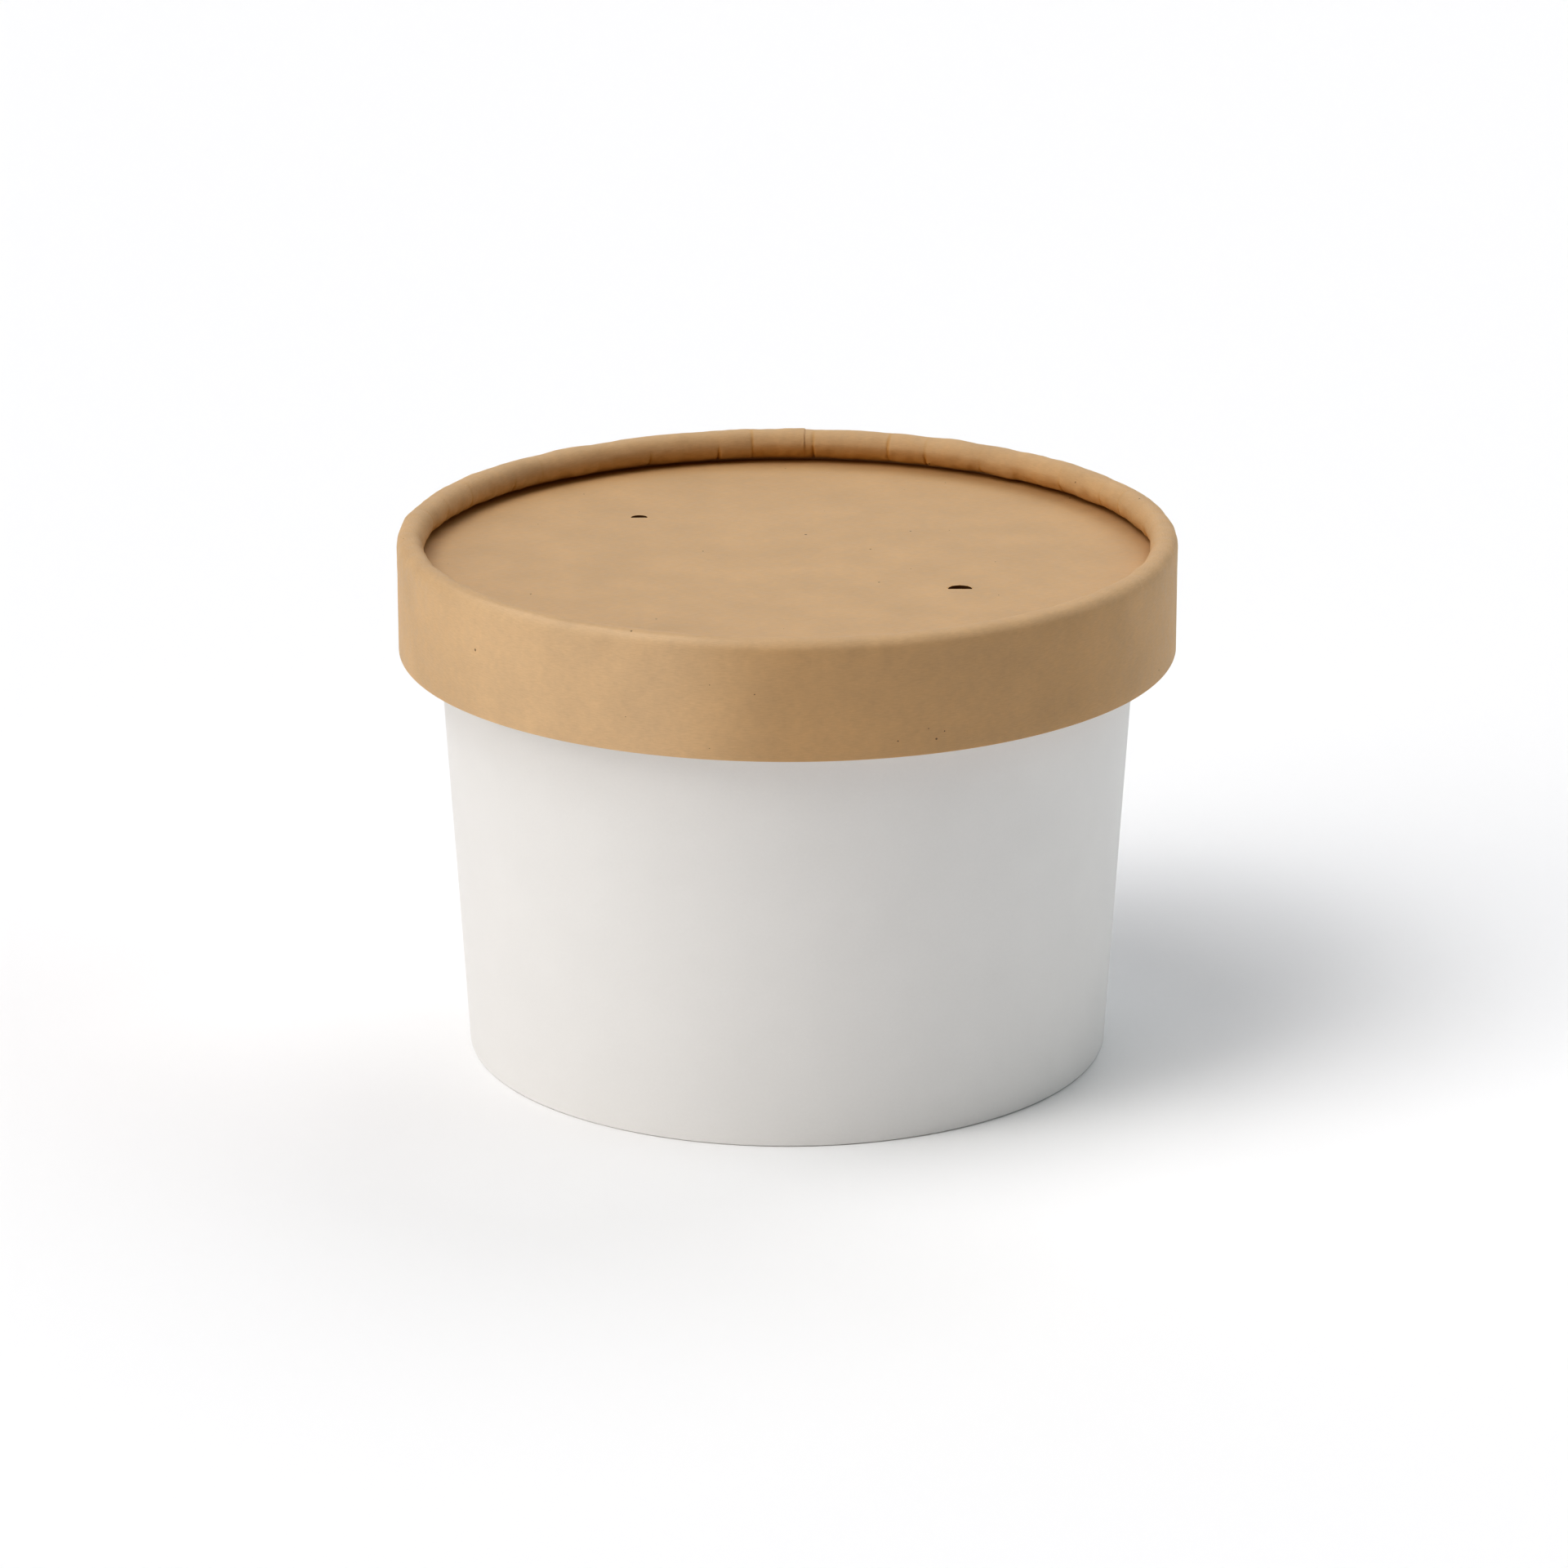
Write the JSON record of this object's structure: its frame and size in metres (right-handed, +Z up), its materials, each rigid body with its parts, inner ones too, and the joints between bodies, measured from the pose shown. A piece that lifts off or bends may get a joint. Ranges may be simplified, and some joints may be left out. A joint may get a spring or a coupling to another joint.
{
  "type": "paper ice cream cup with lid",
  "caption": "Round tapered white paper ice cream tub, shut with a brown paper lid: a flat vented disc in a band rolled inwards along its top.",
  "frame": {"origin": "middle of the circle that the tub stands on, at floor level", "axes": "+Z up along the tub's axis, +Y towards the back where the lid's band laps, +X to the right of the shown side"},
  "size_m": [0.093, 0.0933, 0.0643],
  "materials": {
    "white_board": "matt white cup board, very fine fibre, softly calendered",
    "brown_board": "matt unbleached brown board, mottled, with fine fibres and small dark flecks"
  },
  "bodies": {
    "root": {"tub": "white_board", "tub_bottom": "white_board", "lid_disc": "brown_board", "lid_band": "brown_board"}
  },
  "joints": []
}
